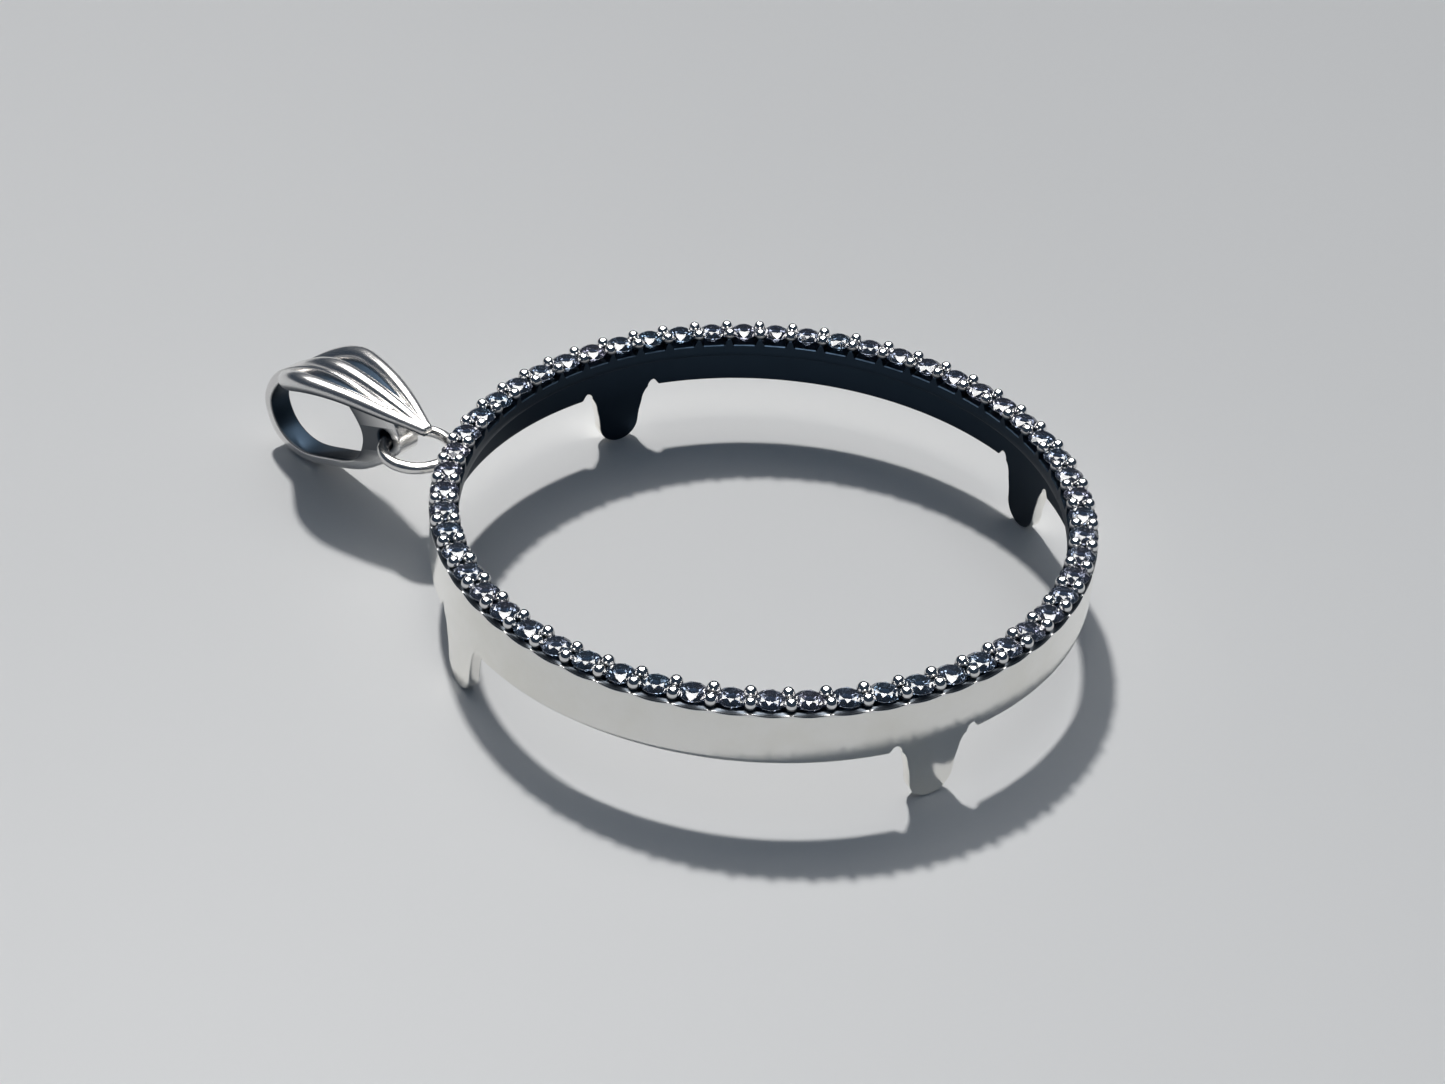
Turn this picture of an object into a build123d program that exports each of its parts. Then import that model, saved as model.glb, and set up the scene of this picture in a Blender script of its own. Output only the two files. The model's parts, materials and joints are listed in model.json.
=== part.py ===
from build123d import *
from math import asin, cos, degrees, hypot, pi, radians, sin, sqrt
import os

# A bezel pendant that holds one large coin. The coin goes in from below, rests
# against a ledge, and is kept in by four tabs that bend over its back. The ring
# above the ledge carries a row of small stones between pairs of beaded posts.
#
# Frame: +Z is the ring's axis, towards the stones. The origin is on that axis in
# the plane of the ledge. The loop for the bail is at +Y. Millimetres.

os.makedirs("parts", exist_ok=True)

# ---- driving dimensions -------------------------------------------------------

COIN_DIAMETER = 38.1
COIN_THICKNESS = 2.4
COIN_CLEARANCE = 0.10          # radial room round the coin
WALL = 0.75                    # thickness of the band
POCKET_RADIUS = 19.40          # wider inside of the band above the seat, for the stone ring

STONES = 57
STONES_PER_GROUP = 3
STONE_DIAMETER = 1.75
STONE_RING_RADIUS = 19.0       # circle through the stones' centres
FIRST_STONE_ANGLE = 1.15       # degrees from the +X axis
TABLE_Z = 1.62                 # height of the stones' flat tops

WINDOW_RADIUS = 18.15          # inside of the ring that carries the stones
SEAM_Z = 0.78                  # band's top edge, where the stone ring sits on it
RIM_TOP = 1.02                 # top of the bevelled rim outside the stones
WEB_TOP = 1.28                 # top of the walls between neighbouring stones
BEAD_RADIUS = 0.40
BEAD_Z = 1.42
OUTER_BEADS_RADIUS = 19.5
INNER_BEADS_RADIUS = 18.51

TAB_COUNT = 4
FIRST_TAB_ANGLE = 45
TAB_THICKNESS = 0.70
TAB_TIP_Z = -6.20
TAB_ROOT_WIDTH = 4.2
TAB_TIP_WIDTH = 2.9
NOTCH_RADIUS = 0.42            # relief notches beside each tab's root

LOOP_WIRE_RADIUS = 0.38
LOOP_RADIUS = 2.12             # to the middle of the wire
LOOP_CENTRE_Y = 22.2
LOOP_Z = -0.55

BAIL_YAW = 26                  # how far round the loop the bail has slid, degrees
BAIL_DROOP = 20                # how far its outer end hangs down, degrees
STRAP_WIDTH = 1.6
EYE_RADIUS = 0.65

CLEARANCE = 0.02               # between pieces that are soldered or turn
CUT_MARGIN = 1.0               # how far a cutting solid runs past what it cuts
STONE_CLEARANCE = 0.012        # between a stone and its seat

# ---- sizes that follow --------------------------------------------------------

SEAT_RADIUS = COIN_DIAMETER / 2 + COIN_CLEARANCE
BAND_RADIUS = SEAT_RADIUS + WALL
BAND_BOTTOM = -COIN_THICKNESS
PITCH = 360 / STONES


def save(piece, name):
    """Label a finished sub-part and write its STEP file."""
    piece.part.label = name
    export_step(piece.part, f"parts/{name}.step")


# ---- band: the plain wall round the coin --------------------------------------

notch_offset = TAB_ROOT_WIDTH / 2 + NOTCH_RADIUS

with BuildPart() as band:
    with BuildSketch(Plane.XY.offset(BAND_BOTTOM)):
        Circle(BAND_RADIUS)
        Circle(SEAT_RADIUS, mode=Mode.SUBTRACT)
    extrude(amount=SEAM_Z - BAND_BOTTOM)
    with BuildSketch(Plane.XY):
        Circle(POCKET_RADIUS)
    extrude(amount=SEAM_Z, mode=Mode.SUBTRACT)
    with PolarLocations(BAND_RADIUS, TAB_COUNT, start_angle=FIRST_TAB_ANGLE):
        with Locations((0, notch_offset, BAND_BOTTOM), (0, -notch_offset, BAND_BOTTOM)):
            Cylinder(NOTCH_RADIUS, 4 * WALL, rotation=(0, 90, 0), mode=Mode.SUBTRACT)

save(band, "band")

# ---- stone: a round brilliant, with a plain round crown and pavilion ----------

STONE_RADIUS = STONE_DIAMETER / 2
TABLE_RADIUS = 0.29 * STONE_DIAMETER
CROWN_HEIGHT = 0.155 * STONE_DIAMETER
GIRDLE_HEIGHT = 0.025 * STONE_DIAMETER
PAVILION_DEPTH = 0.43 * STONE_DIAMETER
girdle_top = TABLE_Z - CROWN_HEIGHT
girdle_bottom = girdle_top - GIRDLE_HEIGHT
culet_z = girdle_bottom - PAVILION_DEPTH


def brilliant_profile(grow):
    """Corners of a stone's half section in the XZ plane, grown by a clearance."""
    return [
        (0, culet_z - grow),
        (STONE_RADIUS + grow, girdle_bottom - grow),
        (STONE_RADIUS + grow, girdle_top + grow),
        (TABLE_RADIUS + grow, TABLE_Z + grow),
        (0, TABLE_Z + grow),
    ]


with BuildPart() as stone:
    with BuildSketch(Plane.XZ):
        Polygon(*brilliant_profile(0), align=None)
    revolve(axis=Axis.Z)

with BuildPart() as seat_cutter:
    with BuildSketch(Plane.XZ):
        Polygon(*brilliant_profile(STONE_CLEARANCE), align=None)
    revolve(axis=Axis.Z)

# ---- stone ring: ledge, gallery, posts and beads, cast in one ------------------

LEDGE_RADIUS = SEAT_RADIUS - CLEARANCE     # the ledge ends inside the seat's wall
COLLAR_RADIUS = POCKET_RADIUS - CLEARANCE  # and the collar above it fills the pocket
RIM_INNER_RADIUS = 19.66       # inside of the bevelled rim
SLOT_WIDTH = 1.55              # U-shaped cuts under the stones
SLOT_BOTTOM = 0.84
SLOT_CORNER = 0.30
POST_RADIUS = 0.25
POST_FOOT_Z = 0.90
GROOVE_HALF_WIDTH = 0.22       # of the V that parts the outer posts from the inner ones
GROOVE_BOTTOM = 1.00
SCALLOP_DIP_Z = 0.86           # lowest point of each scallop on the outer wall
SCALLOP_RISE = 0.14            # from a dip up to the cusp between two scallops

half_arc = pi * BAND_RADIUS / STONES
scallop_radius = (half_arc**2 + SCALLOP_RISE**2) / (2 * SCALLOP_RISE)
bevel_run = BAND_RADIUS - RIM_INNER_RADIUS
bevel_drop = RIM_TOP - SCALLOP_DIP_Z
bevel_length = hypot(bevel_run, bevel_drop)
bevel_angle = degrees(asin(bevel_drop / bevel_length))
bevel_mid_radius = (BAND_RADIUS + RIM_INNER_RADIUS) / 2
bevel_mid_z = (RIM_TOP + SCALLOP_DIP_Z) / 2
scallop_axis_radius = bevel_mid_radius + scallop_radius * sin(radians(bevel_angle))
scallop_axis_z = bevel_mid_z + scallop_radius * cos(radians(bevel_angle))

with BuildPart() as pave_ring:
    with BuildSketch(Plane.XZ):
        with BuildLine():
            Polyline(
                (WINDOW_RADIUS, 0),
                (LEDGE_RADIUS, 0),
                (LEDGE_RADIUS, CLEARANCE),
                (COLLAR_RADIUS, CLEARANCE),
                (COLLAR_RADIUS, SEAM_Z),
                (BAND_RADIUS, SEAM_Z),
                (BAND_RADIUS, RIM_TOP),
                (RIM_INNER_RADIUS, RIM_TOP),
                (RIM_INNER_RADIUS, WEB_TOP),
                (WINDOW_RADIUS, WEB_TOP),
                close=True,
            )
        make_face()
    revolve(axis=Axis.Z)

    # U-shaped cuts, one under each stone, open to the inside of the ring
    slot_length = RIM_INNER_RADIUS - WINDOW_RADIUS + CUT_MARGIN
    slot_height = WEB_TOP - SLOT_BOTTOM + CUT_MARGIN
    with BuildPart(mode=Mode.PRIVATE) as slot:
        with BuildSketch(Plane.YZ.offset(RIM_INNER_RADIUS - slot_length)):
            with Locations((0, SLOT_BOTTOM + slot_height / 2)):
                RectangleRounded(SLOT_WIDTH, slot_height, SLOT_CORNER)
        extrude(amount=slot_length)
    with PolarLocations(0, STONES, start_angle=FIRST_STONE_ANGLE):
        add(slot.part, mode=Mode.SUBTRACT)

    # V-shaped groove that parts each web into an outer and an inner half
    with BuildSketch(Plane.XZ):
        Polygon(
            (STONE_RING_RADIUS, GROOVE_BOTTOM),
            (STONE_RING_RADIUS + GROOVE_HALF_WIDTH, WEB_TOP),
            (STONE_RING_RADIUS - GROOVE_HALF_WIDTH, WEB_TOP),
            align=None,
        )
    revolve(axis=Axis.Z, mode=Mode.SUBTRACT)

    # sloping scallops along the outer edge of the rim
    with PolarLocations(scallop_axis_radius, STONES, start_angle=FIRST_STONE_ANGLE):
        with Locations(Location((0, 0, scallop_axis_z), (0, 90 + bevel_angle, 0))):
            Cylinder(scallop_radius, 3 * bevel_length, mode=Mode.SUBTRACT)

    # posts and beads, halfway between neighbouring stones
    post_height = BEAD_Z - POST_FOOT_Z
    for radius in (OUTER_BEADS_RADIUS, INNER_BEADS_RADIUS):
        with PolarLocations(radius, STONES, start_angle=FIRST_STONE_ANGLE + PITCH / 2):
            with Locations((0, 0, POST_FOOT_Z + post_height / 2)):
                Cylinder(POST_RADIUS, post_height)
            with Locations((0, 0, BEAD_Z)):
                Sphere(BEAD_RADIUS)

    # seats for the stones, which also trim the beads to them
    with PolarLocations(STONE_RING_RADIUS, STONES, start_angle=FIRST_STONE_ANGLE):
        add(seat_cutter.part, mode=Mode.SUBTRACT)

save(pave_ring, "pave_ring")

# ---- stones, in groups of three neighbours -------------------------------------

for group in range(STONES // STONES_PER_GROUP):
    first_angle = FIRST_STONE_ANGLE + group * STONES_PER_GROUP * PITCH
    with BuildPart() as stones:
        for place in range(STONES_PER_GROUP):
            with PolarLocations(STONE_RING_RADIUS, 1, start_angle=first_angle + place * PITCH):
                add(stone.part)
    save(stones, f"stones_{group + 1:02d}")

# ---- tabs: flat tongues that turn about their rounded roots --------------------

TAB_MID_RADIUS = 19.47
TAB_WAIST_Z = -3.55            # where the flare at the root has mostly run out
TAB_WAIST_WIDTH = 3.35
hinge_z = BAND_BOTTOM - TAB_THICKNESS / 2 - CLEARANCE
tip_centre_z = TAB_TIP_Z + TAB_TIP_WIDTH / 2

for number in range(TAB_COUNT):
    angle = radians(FIRST_TAB_ANGLE + number * 360 / TAB_COUNT)
    outward = Vector(cos(angle), sin(angle), 0)
    sideways = Vector(-sin(angle), cos(angle), 0)
    tab_plane = Plane(origin=outward * TAB_MID_RADIUS, x_dir=sideways, z_dir=outward)
    hinge_point = outward * TAB_MID_RADIUS + Vector(0, 0, hinge_z)
    with BuildPart() as tab:
        with BuildSketch(tab_plane):
            with BuildLine():
                root_left = (-TAB_ROOT_WIDTH / 2, hinge_z)
                root_right = (TAB_ROOT_WIDTH / 2, hinge_z)
                tip_left = (-TAB_TIP_WIDTH / 2, tip_centre_z)
                tip_right = (TAB_TIP_WIDTH / 2, tip_centre_z)
                ThreePointArc(root_left, (-TAB_WAIST_WIDTH / 2, TAB_WAIST_Z), tip_left)
                ThreePointArc(tip_left, (0, TAB_TIP_Z), tip_right)
                ThreePointArc(tip_right, (TAB_WAIST_WIDTH / 2, TAB_WAIST_Z), root_right)
                Line(root_right, root_left)
            make_face()
        extrude(amount=TAB_THICKNESS / 2, both=True)
        with BuildSketch(Plane(origin=hinge_point, x_dir=outward, z_dir=sideways)):
            Circle(TAB_THICKNESS / 2)
        extrude(amount=TAB_ROOT_WIDTH / 2, both=True)
    save(tab, f"tab_{number + 1}")

# ---- jump ring: soldered flat against the band ---------------------------------

with BuildPart() as jump_ring:
    with Locations((0, LOOP_CENTRE_Y, LOOP_Z)):
        Torus(LOOP_RADIUS, LOOP_WIRE_RADIUS)
    Cylinder(BAND_RADIUS, 2 * CUT_MARGIN - 2 * LOOP_Z, mode=Mode.SUBTRACT)

save(jump_ring, "jump_ring")

# ---- bail: three ridges over a folded strap, with an eye round the loop --------

yaw = radians(BAIL_YAW)
droop = radians(BAIL_DROOP)
wire_point = Vector(LOOP_RADIUS * sin(yaw), LOOP_CENTRE_Y + LOOP_RADIUS * cos(yaw), LOOP_Z)
along = Vector(sin(yaw) * cos(droop), cos(yaw) * cos(droop), -sin(droop))
across = Vector(cos(yaw), -sin(yaw), 0)

# In this plane x runs along the bail, away from the ring, and y is its height;
# the origin is the middle of the loop's wire, inside the eye.
bail_plane = Plane(origin=wire_point, x_dir=along, z_dir=across)

strap_outside = [
    (-1.0, 1.9), (0.9, 3.0), (2.9, 3.9), (5.0, 4.35), (7.8, 4.2), (10.4, 3.4), (12.1, 1.6),
    (11.9, -0.8), (9.8, -2.3), (6.6, -2.55), (3.6, -2.45), (1.4, -1.9), (0.0, -1.3),
    (-1.15, -0.7), (-1.4, 0.5),
]
strap_inside = [
    (2.4, 0.6), (3.6, 2.75), (5.4, 3.6), (7.8, 3.55), (10.0, 2.8), (11.45, 1.4),
    (11.2, -0.5), (9.5, -1.7), (6.5, -1.9), (4.1, -1.75), (2.8, -0.8),
]

with BuildPart() as strap:
    with BuildSketch(bail_plane):
        with BuildLine():
            Spline(*strap_outside, periodic=True)
        make_face()
        with BuildLine():
            Spline(*strap_inside, periodic=True)
        make_face(mode=Mode.SUBTRACT)
        Circle(EYE_RADIUS, mode=Mode.SUBTRACT)
    extrude(amount=STRAP_WIDTH / 2, both=True)

# a thin fan-shaped plate joins the ridges underneath
PLATE_THICKNESS = 0.4
plate_top = [(-3.2, 0.7), (-1.2, 1.85), (1.0, 2.9), (3.0, 3.6), (4.8, 3.95), (6.8, 3.85), (8.6, 3.65)]
plate_under = [(x, y - PLATE_THICKNESS) for x, y in plate_top]
plate_half_plan = [(-3.2, 0.15), (-1.2, 1.0), (1.0, 1.65), (3.0, 2.1), (4.8, 2.3), (6.8, 1.95), (8.6, 1.0)]
plan_plane = Plane(origin=wire_point, x_dir=along, z_dir=bail_plane.y_dir)
bail_height = max(y for x, y in strap_outside)

with BuildPart() as fan_plate:
    with BuildSketch(bail_plane):
        with BuildLine():
            top_edge = Spline(*plate_top)
            under_edge = Spline(*plate_under)
            Line(top_edge @ 0, under_edge @ 0)
            Line(top_edge @ 1, under_edge @ 1)
        make_face()
    extrude(amount=2 * STRAP_WIDTH, both=True)
    with BuildSketch(plan_plane):
        Polygon(
            *plate_half_plan,
            *[(x, -y) for x, y in reversed(plate_half_plan)],
            align=None,
        )
    extrude(amount=bail_height, mode=Mode.INTERSECT)

# each ridge is a round bar, thickest over the crest of the bail
middle_ridge = [(-3.3, 0.75, 0), (-1.2, 1.95, 0), (1.0, 3.05, 0), (3.0, 3.8, 0), (4.8, 4.1, 0),
                (7.0, 4.0, 0), (9.0, 3.45, 0)]
side_ridge = [(-3.3, 0.75, 0.15), (-1.2, 1.9, 1.0), (1.0, 2.95, 1.65), (3.0, 3.65, 2.1),
              (4.8, 4.0, 2.3), (6.8, 3.85, 1.95), (8.6, 3.45, 1.0), (9.8, 2.95, 0.45)]
ridge_sections = [(0.0, 0.34), (0.3, 0.50), (0.65, 0.66), (1.0, 0.36)]


def ridge_points(side):
    """Middle line of a ridge: side is -1, 0 or +1 across the bail."""
    if side == 0:
        return middle_ridge
    return [(x, y, side * z) for x, y, z in side_ridge]


with BuildPart() as bail:
    add(strap.part)
    add(fan_plate.part)
    for side in (-1, 0, 1):
        with BuildLine(bail_plane) as middle_line:
            Spline(*ridge_points(side))
        path = middle_line.line
        with BuildPart(mode=Mode.PRIVATE) as ridge:
            for place, radius in ridge_sections:
                with BuildSketch(Plane(origin=path @ place, z_dir=path % place)):
                    Circle(radius)
            sweep(path=path, multisection=True)
            with Locations(path @ 0):
                Sphere(ridge_sections[0][1])
            with Locations(path @ 1):
                Sphere(ridge_sections[-1][1])
        add(ridge.part)

save(bail, "bail")
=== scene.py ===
"""The look of a silver bezel pendant for one large coin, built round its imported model.

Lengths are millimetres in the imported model's frame: +Z is the ring's axis, towards the
stones, and the loop for the bail is at +Y. They become metres when a mesh is made.
"""
import json
import random
from math import asin, cos, hypot, pi, radians, sin, sqrt, tau

import bpy
from mathutils import Matrix, Vector
from mathutils.kdtree import KDTree


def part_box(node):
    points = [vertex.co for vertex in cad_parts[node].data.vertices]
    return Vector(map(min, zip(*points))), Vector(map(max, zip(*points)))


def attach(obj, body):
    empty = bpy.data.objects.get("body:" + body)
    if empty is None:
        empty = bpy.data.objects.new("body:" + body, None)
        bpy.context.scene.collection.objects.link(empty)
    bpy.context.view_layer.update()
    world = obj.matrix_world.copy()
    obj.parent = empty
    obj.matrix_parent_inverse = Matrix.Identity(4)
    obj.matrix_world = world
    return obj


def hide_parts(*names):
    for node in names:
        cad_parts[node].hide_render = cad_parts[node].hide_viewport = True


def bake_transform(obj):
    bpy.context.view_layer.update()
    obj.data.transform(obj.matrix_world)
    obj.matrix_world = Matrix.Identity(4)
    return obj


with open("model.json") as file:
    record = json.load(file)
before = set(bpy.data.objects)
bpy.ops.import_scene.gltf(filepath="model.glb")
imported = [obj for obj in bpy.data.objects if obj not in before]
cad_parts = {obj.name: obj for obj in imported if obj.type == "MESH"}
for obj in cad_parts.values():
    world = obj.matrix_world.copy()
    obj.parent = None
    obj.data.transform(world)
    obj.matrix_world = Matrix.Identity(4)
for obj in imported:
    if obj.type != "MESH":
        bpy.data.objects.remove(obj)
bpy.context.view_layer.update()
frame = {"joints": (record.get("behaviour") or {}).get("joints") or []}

MM = 0.001
BEZEL = "bezel"                # the body that everything rides on but the tabs and the bail

# ---- sizes read from the frame -------------------------------------------------

def lowest(node):
    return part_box(node)[0] / MM


def highest(node):
    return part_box(node)[1] / MM


BAND_RADIUS = highest("band").x
BAND_BOTTOM = lowest("band").z
SEAM_Z = highest("band").z     # where the ring of stones sits on the band
BEAD_TOP = highest("pave_ring").z
TABLE_Z = highest("stones_01").z
FLOOR_Z = lowest("tab_1").z    # the pendant stands on its four tabs

# ---- sizes of the object -------------------------------------------------------

SEAT_RADIUS = 19.15            # the coin's seat, inside the band
POCKET_RADIUS = 19.40
LEDGE_RADIUS = 19.13
COLLAR_RADIUS = 19.38
LEDGE_STEP = 0.02              # the collar's underside stands this far off the band's step
WINDOW_RADIUS = 18.15          # inside of the ring of stones

STONES = 57
STONES_PER_NODE = 3
STONE_DIAMETER = 1.75
STONE_RING_RADIUS = 19.0
FIRST_STONE_ANGLE = radians(1.15)
PITCH = tau / STONES

TAB_COUNT = 4
FIRST_TAB_ANGLE = radians(45)
ROOT_HALF_WIDTH = 2.1
NOTCH_RADIUS = 0.42            # relief notch at each side of a tab's root

LOOP_CENTRE = Vector((0, 22.2, -0.55))
LOOP_RADIUS = 2.12
LOOP_WIRE_RADIUS = 0.38

BAIL_YAW = radians(26)
BAIL_DROOP = radians(20)


# ---- mesh helpers --------------------------------------------------------------

def smooth_step(value):
    """0 below 0, 1 above 1, and an even ease between."""
    t = min(1.0, max(0.0, value))
    return t * t * (3 - 2 * t)


def blend_between(low, high, share):
    return low + (high - low) * share


def polar(angle, radius, z):
    return Vector((radius * cos(angle), radius * sin(angle), z))


def make_piece(name, points, faces, material, sharp=30):
    """A mesh object from points in millimetres, smooth apart from edges over `sharp` degrees."""
    mesh = bpy.data.meshes.new(name)
    mesh.from_pydata([Vector(point) * MM for point in points], [], faces)
    mesh.validate()
    for polygon in mesh.polygons:
        polygon.use_smooth = sharp > 0
    if sharp > 0:
        mesh.set_sharp_from_angle(angle=radians(sharp))
    mesh.materials.append(material)
    piece = bpy.data.objects.new(name, mesh)
    bpy.context.scene.collection.objects.link(piece)
    return piece


def bridge(loops, wrap=False, first=0):
    """Quads between neighbouring closed loops of the same length; loops hold only points."""
    size = len(loops[0])
    count = len(loops)
    faces = []
    for row in range(count if wrap else count - 1):
        here = first + row * size
        there = first + (row + 1) % count * size
        for i in range(size):
            j = (i + 1) % size
            faces.append((here + i, here + j, there + j, there + i))
    return faces


class Shells:
    """Closed shells gathered into one mesh."""

    def __init__(self):
        self.points = []
        self.faces = []
        self.blackness = []        # 0 to 1 for each point, in a mesh with black parts

    def add_loops(self, loops, wrap=False):
        """A skin over closed loops, with a flat face over each end unless it wraps round."""
        first = len(self.points)
        size = len(loops[0])
        for loop in loops:
            self.points.extend(loop)
        self.faces.extend(bridge(loops, wrap, first))
        if not wrap:
            last = first + (len(loops) - 1) * size
            self.faces.append(tuple(first + i for i in reversed(range(size))))
            self.faces.append(tuple(last + i for i in range(size)))

    def add_faces(self, points, faces):
        first = len(self.points)
        self.points.extend(points)
        self.faces.extend(tuple(first + i for i in face) for face in faces)

    def add_lathe(self, profile, place, segments):
        """A shell of revolution: profile rises from (0, z) through (radius, z) back to (0, z)."""
        first = len(self.points)
        rings = profile[1:-1]
        self.points.append(place @ Vector((0, 0, profile[0][1])))
        for radius, z in rings:
            for i in range(segments):
                turn = tau * i / segments
                self.points.append(place @ Vector((radius * cos(turn), radius * sin(turn), z)))
        self.points.append(place @ Vector((0, 0, profile[-1][1])))
        last = len(self.points) - 1
        top = last - segments
        for i in range(segments):
            j = (i + 1) % segments
            self.faces.append((first, first + 1 + j, first + 1 + i))
            self.faces.append((last, top + i, top + j))
        for row in range(len(rings) - 1):
            here = first + 1 + row * segments
            there = here + segments
            for i in range(segments):
                j = (i + 1) % segments
                self.faces.append((here + i, here + j, there + j, there + i))

    def blacken(self, amount_at):
        """Blackens the points added since the last call, by their radius and height on the ring."""
        for point in self.points[len(self.blackness):]:
            self.blackness.append(amount_at(hypot(point[0], point[1]), point[2]))

    def piece(self, name, material, sharp=30):
        piece = make_piece(name, self.points, self.faces, material, sharp)
        if self.blackness:
            # the black mask, holding oxide and painted shade
            attribute = piece.data.attributes.new("tarnish_and_painted_shade", "FLOAT", "POINT")
            attribute.data.foreach_set("value", self.blackness)
        return piece


def smooth_line(points, steps):
    """Points along a smooth line through the given ones, `steps` to each span."""
    ends = [points[0] * 2 - points[1]] + list(points) + [points[-1] * 2 - points[-2]]
    line = []
    for before, here, there, after in zip(ends, ends[1:], ends[2:], ends[3:]):
        for step in range(steps):
            t = step / steps
            line.append(0.5 * (
                2 * here
                + (there - before) * t
                + (2 * before - 5 * here + 4 * there - after) * t ** 2
                + (3 * here - before - 3 * there + after) * t ** 3
            ))
    return line + [points[-1]]


# ---- materials -----------------------------------------------------------------

TARNISH_AND_SHADE_COLOUR = (0.020, 0.032, 0.048)    # dark silver: oxide in the ring's recesses, painted shade on beads, bevel and bail, black on inside faces
TARNISH_AND_SHADE_ROUGHNESS = 0.25             # how much rougher the black silver is than the bright


def new_material(name):
    """A node material with its Principled shader and a short way to add more nodes."""
    material = bpy.data.materials.new(name)
    material.use_nodes = True
    nodes = material.node_tree.nodes
    shader = nodes["Principled BSDF"]

    def add(kind, **values):
        node = nodes.new(kind)
        for key, value in values.items():
            if key in node.inputs:
                node.inputs[key].default_value = value
            else:
                setattr(node, key, value)
        return node

    return material, shader, add, material.node_tree.links.new


def add_noise(add, link, scale, detail, roughness=0.5):
    """A noise texture in the object's own space."""
    place = add("ShaderNodeTexCoord")
    noise = add("ShaderNodeTexNoise", Scale=scale, Detail=detail, Roughness=roughness)
    link(place.outputs["Object"], noise.inputs["Vector"])
    return noise.outputs["Fac"]


def map_range(add, link, value, low, high, new_low, new_high):
    """The value carried from one range to another, and kept within it."""
    node = add("ShaderNodeMapRange")
    node.inputs["From Min"].default_value = low
    node.inputs["From Max"].default_value = high
    node.inputs["To Min"].default_value = new_low
    node.inputs["To Max"].default_value = new_high
    link(value, node.inputs["Value"])
    return node.outputs["Result"]


def silver(name, bright, dull, smear_scale, roughness, scratches, tarnish_and_painted_shade=None):
    """Polished sterling silver with faint smears, fine scratches and, where asked, black from a mask of
    oxide and painted shade.
    """
    material, shader, add, link = new_material(name)
    shader.inputs["Metallic"].default_value = 1.0
    smear = add_noise(add, link, smear_scale, 5, 0.6)
    colour = add("ShaderNodeMix", data_type="RGBA")
    colour.inputs["A"].default_value = (*bright, 1)
    colour.inputs["B"].default_value = (*dull, 1)
    link(map_range(add, link, smear, 0.45, 0.75, 0, 1), colour.inputs["Factor"])
    rough = map_range(add, link, smear, 0.35, 0.75, *roughness)
    shade = colour.outputs["Result"]
    if tarnish_and_painted_shade:
        # the mask darkens towards the dark colour: oxide in recesses, painted shade on beads, bevel and
        # bail
        tarnish_and_shade_mask = add("ShaderNodeAttribute", attribute_name="tarnish_and_painted_shade").outputs["Fac"]
        darker = add("ShaderNodeMix", data_type="RGBA")
        darker.inputs["B"].default_value = (*tarnish_and_painted_shade, 1)
        link(shade, darker.inputs["A"])
        link(tarnish_and_shade_mask, darker.inputs["Factor"])
        shade = darker.outputs["Result"]
        rougher = add("ShaderNodeMath", operation="MULTIPLY_ADD")
        rougher.inputs[1].default_value = TARNISH_AND_SHADE_ROUGHNESS
        link(tarnish_and_shade_mask, rougher.inputs[0])
        link(rough, rougher.inputs[2])
        rough = rougher.outputs["Value"]
    link(shade, shader.inputs["Base Color"])
    link(rough, shader.inputs["Roughness"])
    grain = add_noise(add, link, 2600, 3)
    relief = add("ShaderNodeBump", Strength=scratches, Distance=0.00002)
    link(grain, relief.inputs["Height"])
    link(relief.outputs["Normal"], shader.inputs["Normal"])
    return material


def stone_material():
    """Strongly refracting clear stone, with a dark, cool tint that drifts from stone to stone; the dark
    of it is painted shade, for the dark seat seen through the stone.
    """
    material, shader, add, link = new_material("clear_stone")
    shader.inputs["Transmission Weight"].default_value = 0.88
    shader.inputs["IOR"].default_value = 2.1
    shader.inputs["Roughness"].default_value = 0.06
    drift = add_noise(add, link, 350, 2)
    # painted shade: the tint is kept dark to stand for the dark seat seen through the stone
    tint = add("ShaderNodeMix", data_type="RGBA")
    tint.inputs["A"].default_value = (0.17, 0.26, 0.36, 1)
    tint.inputs["B"].default_value = (0.30, 0.30, 0.38, 1)
    link(map_range(add, link, drift, 0.35, 0.65, 0, 1), tint.inputs["Factor"])
    link(tint.outputs["Result"], shader.inputs["Base Color"])
    return material


band_silver = silver("band_silver", bright=(0.97, 0.955, 0.915), dull=(0.89, 0.87, 0.80),
                     smear_scale=160, roughness=(0.07, 0.15), scratches=0.08, tarnish_and_painted_shade=TARNISH_AND_SHADE_COLOUR)
ring_silver = silver("ring_silver", bright=(0.90, 0.89, 0.87), dull=(0.80, 0.79, 0.78),
                     smear_scale=400, roughness=(0.08, 0.16), scratches=0.15, tarnish_and_painted_shade=TARNISH_AND_SHADE_COLOUR)
bead_silver = silver("bead_silver", bright=(0.92, 0.91, 0.90), dull=(0.84, 0.83, 0.83),
                     smear_scale=700, roughness=(0.06, 0.12), scratches=0.10, tarnish_and_painted_shade=TARNISH_AND_SHADE_COLOUR)
wire_silver = silver("wire_silver", bright=(0.94, 0.92, 0.90), dull=(0.86, 0.84, 0.80),
                     smear_scale=300, roughness=(0.16, 0.26), scratches=0.10)
bail_silver = silver("bail_silver", bright=(0.90, 0.885, 0.87), dull=(0.80, 0.785, 0.77),
                     smear_scale=220, roughness=(0.20, 0.30), scratches=0.12, tarnish_and_painted_shade=TARNISH_AND_SHADE_COLOUR)
clear_stone = stone_material()


# ---- band ------------------------------------------------------------------------

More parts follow.
